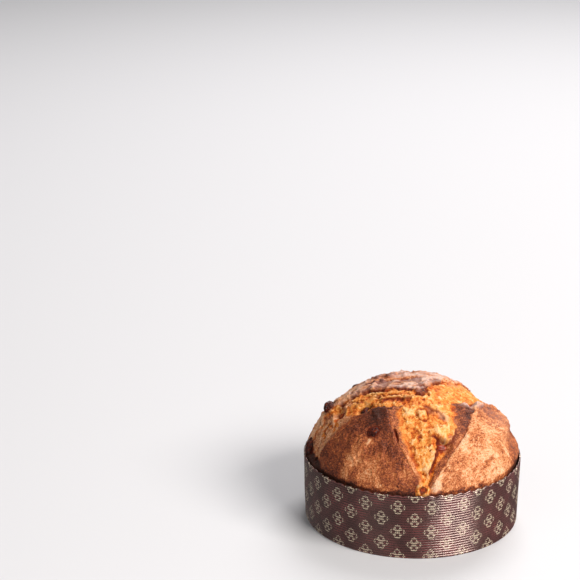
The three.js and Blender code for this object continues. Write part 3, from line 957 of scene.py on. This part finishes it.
    def mark(self):
        """Makes the small features, and then the folds that end in a step."""
        torn_plan = self.dome[:, :2] + 2.2 * self.ragged
        marks = [(notch_place, work) for work in NOTCH_WORK.values()]
        marks += [(rim_point, work) for work in ROUND_WORK.values()]
        for place, (path, ring, colouring) in marks:
            distance, beside = along(torn_plan, [(*place(*at), width, rise) for *at, width, rise in path])
            touch = bell(np.abs(distance) - ring, beside[:, 2]) * self.clear
            self.height += beside[:, 3] * touch * self.above
            self.look(**{name: strength * touch for name, strength in colouring.items()})
        for path, step, reach in FOLDS.values():
            shares = np.linspace(0, 1, len(path))
            left, beside = along(torn_plan, [(*notch_place(*at), share) for at, share in zip(path, shares)])
            fade = smooth(0, 0.2, beside[:, 2]) * smooth(1, 0.8, beside[:, 2]) * self.open_crumb
            self.height += step * fade * smooth(-0.8, 0.8, left) * np.exp(-np.maximum(left, 0) / reach)
            fade = fade * min(1, step / 2)
            # Painted light on each fold's high edge, and painted shade, darker and redder, just below its
            # step.
            lit, shaded = bell(left - 1.6, 2.2), bell(left + 3.0, 3.5)
            self.look(pit=0.85 * fade * bell(left + 0.9, 1.5), glow=fade * (0.15 * lit - 0.5 * shaded))

    def deepen_hollows(self):
        """Paints shade into what lies low, browning and reddening it, and paints light onto what stands
        proud, paling it.
        """
        hollow = hollows(self.height, 12)
        self.look(glow=-0.26 * np.clip(hollow, -1.2, 1.4), bake=0.12 * np.clip(hollow, -0.8, 1.2),
                  pit=0.25 * smooth(0.5, 2.0, hollow) * self.open_crumb)
        self.looks["pit"] = self.looks["pit"] * self.clear

    def placed(self):
        """The surface: raised, with the crust's edge drawn out over the crumb, and shrunk from the mould."""
        points = self.dome + self.normal * self.height[:, None]
        over, under = np.exp(-self.on / 2.4) * self.crust, 0.7 * np.exp(-self.off / 1.6) * (1 - self.crust)
        reach = self.settings.overhang / MM * self.cliff * (over - under)
        flat = self.normal[:, :2]
        across = self.way - flat * np.sum(self.way * flat, axis=1)[:, None]
        points[:, :2] += across * reach[:, None]
        # the gap to the mould is widest at the front's two sides
        gap = 0.9 * bell(self.angle + 20, 20) + 1.2 * bell(self.angle + 138, 26)
        pull = (gap + 0.6 * self.mid + 0.3) * smooth(WALL_HEIGHT + 14, WALL_HEIGHT + 1, self.z)
        points[:, :2] -= pull[:, None] * self.dome[:, :2] / np.maximum(self.r, 1)[:, None]
        return points


class PANETTONE_OT_loaf(bpy.types.Operator):
    """Makes the loaf: a fine sheet drawn over a dome, torn and sculpted, with its side and underside"""

    bl_idname = "panettone.loaf"
    bl_label = "Loaf"

    def execute(self, context):
        settings = context.scene.panettone_loaf
        start()
        count = settings.cells_across
        bpy.ops.mesh.primitive_grid_add(x_subdivisions=count, y_subdivisions=count, size=2.0 * MM)
        loaf = context.object
        sheet = Sheet(*self.drawn_over(places(loaf)[:, :2]), settings)
        sheet.find_flaps()
        sheet.drop_crumb()
        sheet.swell()
        sheet.bake_crust()
        sheet.wrinkle_crust()
        sheet.tear_crumb()
        sheet.tear_under_crown()
        sheet.skin_over()
        sheet.mark()
        sheet.deepen_hollows()
        points = self.inside_mould(self.seat_fruit(sheet.placed(), sheet.looks))
        move_to(loaf, points)
        for name, values in sheet.looks.items():
            take(np.clip(values, 0, 1), name, loaf)
        self.add_underside(loaf)
        finish_piece(loaf, "baked_loaf", "baked_loaf", loaf_material(), "loaf")
        return {"FINISHED"}

    def drawn_over(self, across):
        """The square sheet's vertices spread evenly over the smooth dome, with its normals."""
        a, b = across.T
        wide = np.abs(a) > np.abs(b)
        safe_a, safe_b = np.where(a == 0, 1e-9, a), np.where(b == 0, 1e-9, b)
        span = np.where(wide, a, b)
        turn = np.where(wide, math.pi / 4 * b / safe_a, math.pi / 2 - math.pi / 4 * a / safe_b)
        angle = np.arctan2(span * np.sin(turn), span * np.cos(turn))
        share = np.abs(span)
        r = DOME_RADIUS * np.sin(np.linspace(0, math.pi / 2, 2001))
        z = dome_height(r)
        r, z = np.append(r, r[-1]), np.append(z, WALL_HEIGHT - TUCK)
        run = np.append(0, np.cumsum(np.hypot(np.diff(r), np.diff(z))))
        at = share * run[-1]
        radius, height = np.interp(at, run, r), np.interp(at, run, z)
        step = 0.8
        out = np.interp(at + step, run, r) - np.interp(at - step, run, r)
        fall = np.interp(at - step, run, z) - np.interp(at + step, run, z)
        length = np.maximum(np.hypot(out, fall), 1e-9)
        cos, sin = np.cos(angle), np.sin(angle)
        points = np.stack([radius * cos, radius * sin, height], axis=1)
        normal = np.stack([fall / length * cos, fall / length * sin, out / length], axis=1)
        return points, normal

    def inside_mould(self, points):
        """The surface kept inside the rim's radius, and inside the board where it is down in the mould."""
        room = RIM_RADIUS - RIM_GAP - BOARD * smooth(WALL_HEIGHT + 6, WALL_HEIGHT + 2.5, points[:, 2])
        from_middle = np.maximum(np.hypot(*points[:, :2].T), 1)
        points[:, :2] *= np.minimum(1, room / from_middle)[:, None]
        return points

    def seat_fruit(self, points, looks):
        """The surface drawn in round each piece of fruit, so that it sits sunk in the dough."""
        for name in FRUIT:
            centre, axes, half = fruit_frame(name)
            up = axes[:, 2]
            gap = points - centre
            rise = gap @ up
            size = float(half[:2].mean())
            side = np.linalg.norm(gap - rise[:, None] * up, axis=1)
            side = side + 0.4 * size * fractal(points, 5, 2, 13)
            near = (side < 2.6 * size) & (np.abs(rise) < 3.0 * size)
            ringed = name in RINGS
            ring, sunk, most = (RINGS[name], 0.7, 4.0) if ringed else (0.5, 0.45, 0.6)
            over_rim = smooth(WALL_HEIGHT - 2, WALL_HEIGHT + 2, points[:, 2])
            hold = smooth(2.4 * size, 1.1 * size, side) * near * over_rim
            level = sunk * half[2] + ring * bell(side - 1.3 * size, 0.5 * size)
            points = points + np.minimum(hold * (level - rise), most)[:, None] * up
            shade = (0.3 if name in SLOTS else 0.9) * smooth(1.2 * size, 0.9 * size, side) * near
            looks["pit"] = np.maximum(looks["pit"], shade)
            if ringed:
                looks["crust"] = looks["crust"] - bell(side - 1.4 * size, 0.5 * size) * near
                looks["glow"] = looks["glow"] + 0.1 * bell(side - 1.4 * size, 0.4 * size) * near
            if name in SLOTS:
                length = np.abs(gap[:, 0]) / SLOTS[name]
                slot = bell(gap[:, 1], 1.4) * smooth(1.0, 0.5, length) * near
                points = points - (3.0 * slot)[:, None] * up
                looks["pit"] = np.maximum(looks["pit"], slot)
        return points

    def add_underside(self, loaf):
        """Carries the sheet's edge down the mould's wall and closes it underneath."""
        floor = float(LOAF_LOW[2])
        side = float(LOAF_HIGH[0]) - 1.8
        activate(loaf)
        with edit_mode("SELECT"):
            bpy.ops.mesh.select_mode(type="EDGE")
            bpy.ops.mesh.region_to_loop()
            draw_rings(DOME_RADIUS, WALL_HEIGHT - TUCK, [
                (side, 44), (side - 0.7, 14), (side - 1.4, 5), (side - 3, floor + 1), (side - 6, floor),
                (60, floor), (20, floor)])
            bpy.ops.mesh.edge_face_add()


# ---- the fruit ----------------------------------------------------------------------------------


def fruit_frame(name):
    """A CAD fruit's middle, its three axes as columns with the last facing out, and its half-sizes."""
    points = np.array([v.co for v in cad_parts[name].data.vertices], float) / MM
    centre = points.mean(axis=0)
    _, _, rows = np.linalg.svd(points - centre, full_matrices=False)
    outward = centre - [0, 0, WALL_HEIGHT * 0.6]
    if rows[2] @ outward < 0:
        rows[2] = -rows[2]
    rows[0] = np.cross(rows[1], rows[2])
    half = np.abs((points - centre) @ rows.T).max(axis=0)
    return centre, rows.T, half


def set_in_place(obj, name):
    """Scales a unit lump to a CAD fruit's size and lays it where that fruit is."""
    centre, axes, half = fruit_frame(name)
    move_to(obj, (places(obj) * MM * half) @ axes.T + centre)


class PANETTONE_OT_raisins(bpy.types.Operator):
    """Makes the raisins: one plump ball, creased into folds, and copied with its folds shifted"""

    bl_idname = "panettone.raisins"
    bl_label = "Raisins"

    def execute(self, context):
        material = raisin_material()
        for k, name in enumerate(n for n in FRUIT if n.startswith("raisin")):
            start()
            bpy.ops.mesh.primitive_ico_sphere_add(subdivisions=5, radius=1.0)
            raisin = context.object
            points = places(raisin) * MM
            folds = 1.0 - np.abs(fractal(points * [1.0, 2.2, 2.2], 0.9, 3, seed=10 + k)) * 1.7
            bent = fractal(points, 1.6, 2, seed=50 + k)
            points *= (0.84 + 0.26 * np.clip(folds, -0.6, 1) + 0.22 * bent)[:, None]
            move_to(raisin, points / MM)
            set_in_place(raisin, name)
            finish_piece(raisin, f"plump_{name}", "raisin", material, name)
        return {"FINISHED"}


class PANETTONE_OT_peel(bpy.types.Operator):
    """Makes the candied peel: a diced block with softened edges and shrunken faces"""

    bl_idname = "panettone.peel"
    bl_label = "Candied peel"

    def execute(self, context):
        material = peel_material()
        for k, name in enumerate(n for n in FRUIT if n.startswith("candied_peel")):
            start()
            bpy.ops.mesh.primitive_cube_add(size=1.7)
            dice = context.object
            with edit_mode():
                bpy.ops.mesh.bevel(offset=0.32, segments=3, affect="EDGES")
                bpy.ops.mesh.subdivide(number_cuts=3)
            soften = dice.modifiers.new("soften", "SUBSURF")
            soften.levels = soften.render_levels = 1
            apply_modifiers(dice)
            points = places(dice) * MM
            points *= (0.98 + 0.16 * fractal(points, 0.8, 3, seed=30 + k))[:, None]
            move_to(dice, points / MM)
            set_in_place(dice, name)
            finish_piece(dice, f"diced_{name}", "candied_peel", material, name)
        return {"FINISHED"}


# ---- the stage ----------------------------------------------------------------------------------


class PANETTONE_OT_stage(bpy.types.Operator):
    """Sets up the camera, the soft studio lights and the pale floor"""

    bl_idname = "panettone.stage"
    bl_label = "Stage"

    def execute(self, context):
        self.add_camera(context)
        start()
        bpy.ops.mesh.primitive_plane_add(size=12.0)
        floor = context.object
        floor.name = "floor"
        floor.data.materials.append(floor_material())
        floor.visible_glossy = False  # as if black cards kept its glare off the mould
        self.add_light("key_right", 50, 37, (2.4, 1.3), 170.0, "#fff6ee")
        self.add_light("crown_back", 165, 48, (2.0, 2.0), 90.0, "#fff8f4")
        self.add_light("fill_left", -40, 40, (2.0, 2.0), 8.0, "#fff6ee")
        world = bpy.data.worlds.new("studio")
        context.scene.world = world
        world.use_nodes = True
        back = world.node_tree.nodes["Background"]
        back.inputs["Color"].default_value = linear("#f8f5f3")
        back.inputs["Strength"].default_value = 0.19
        context.scene.view_settings.view_transform = "Standard"
        return {"FINISHED"}

    def add_camera(self, context):
        """A long lens above the front, looking up and left of the loaf, which stands low on the right."""
        settings = context.scene.panettone_stage
        target = Vector((0, 0, 0.05))
        back = Vector((0, -math.cos(settings.elevation), math.sin(settings.elevation)))
        data = bpy.data.cameras.new("camera")
        data.lens = settings.lens
        camera = bpy.data.objects.new("camera", data)
        context.scene.collection.objects.link(camera)
        facing = (-back).to_track_quat("-Z", "Y").to_matrix()
        facing = Matrix.Rotation(settings.aim_left, 3, "Z") @ facing
        facing = Matrix.Rotation(settings.aim_up, 3, facing.col[0]) @ facing
        camera.matrix_world = Matrix.Translation(target + back * settings.distance) @ facing.to_4x4()
        context.scene.camera = camera

    def add_light(self, name, right, up, size, power, colour):
        """A soft box that faces the loaf: its degrees round to the right and up, and its two sides."""
        data = bpy.data.lights.new(name, "AREA")
        data.energy = power
        data.shape = "RECTANGLE"
        data.size, data.size_y = size
        data.color = linear(colour)[:3]
        light = bpy.data.objects.new(name, data)
        bpy.context.scene.collection.objects.link(light)
        right, up = math.radians(right), math.radians(up)
        way = Vector((math.sin(right) * math.cos(up), -math.cos(right) * math.cos(up), math.sin(up)))
        light.location = way * LIGHT_DISTANCE
        light.rotation_euler = way.to_track_quat("Z", "Y").to_euler()


# ---- the panel and the run ----------------------------------------------------------------------


class VIEW3D_PT_panettone(bpy.types.Panel):
    """Lists the makers in the order in which they run"""

    bl_label = "Panettone"
    bl_space_type = "VIEW_3D"
    bl_region_type = "UI"
    bl_category = "Panettone"

    def draw(self, context):
        for maker in MAKERS:
            self.layout.operator(maker.bl_idname)


MAKERS = (
    PANETTONE_OT_stage,
    PANETTONE_OT_mould,
    PANETTONE_OT_base,
    PANETTONE_OT_loaf,
    PANETTONE_OT_raisins,
    PANETTONE_OT_peel,
)
SETTINGS = {
    "panettone_mould": MouldSettings,
    "panettone_loaf": LoafSettings,
    "panettone_stage": StageSettings,
}


def register():
    for group in (*SETTINGS.values(), *MAKERS, VIEW3D_PT_panettone):
        bpy.utils.register_class(group)
    for name, group in SETTINGS.items():
        setattr(bpy.types.Scene, name, PointerProperty(type=group))


def unregister():
    for name in SETTINGS:
        delattr(bpy.types.Scene, name)
    for group in reversed((*SETTINGS.values(), *MAKERS, VIEW3D_PT_panettone)):
        bpy.utils.unregister_class(group)


def main():
    register()
    bpy.ops.panettone.stage()
    bpy.ops.panettone.mould()
    bpy.ops.panettone.base()
    bpy.ops.panettone.loaf()
    bpy.ops.panettone.raisins()
    bpy.ops.panettone.peel()


if __name__ == "__main__":
    main()
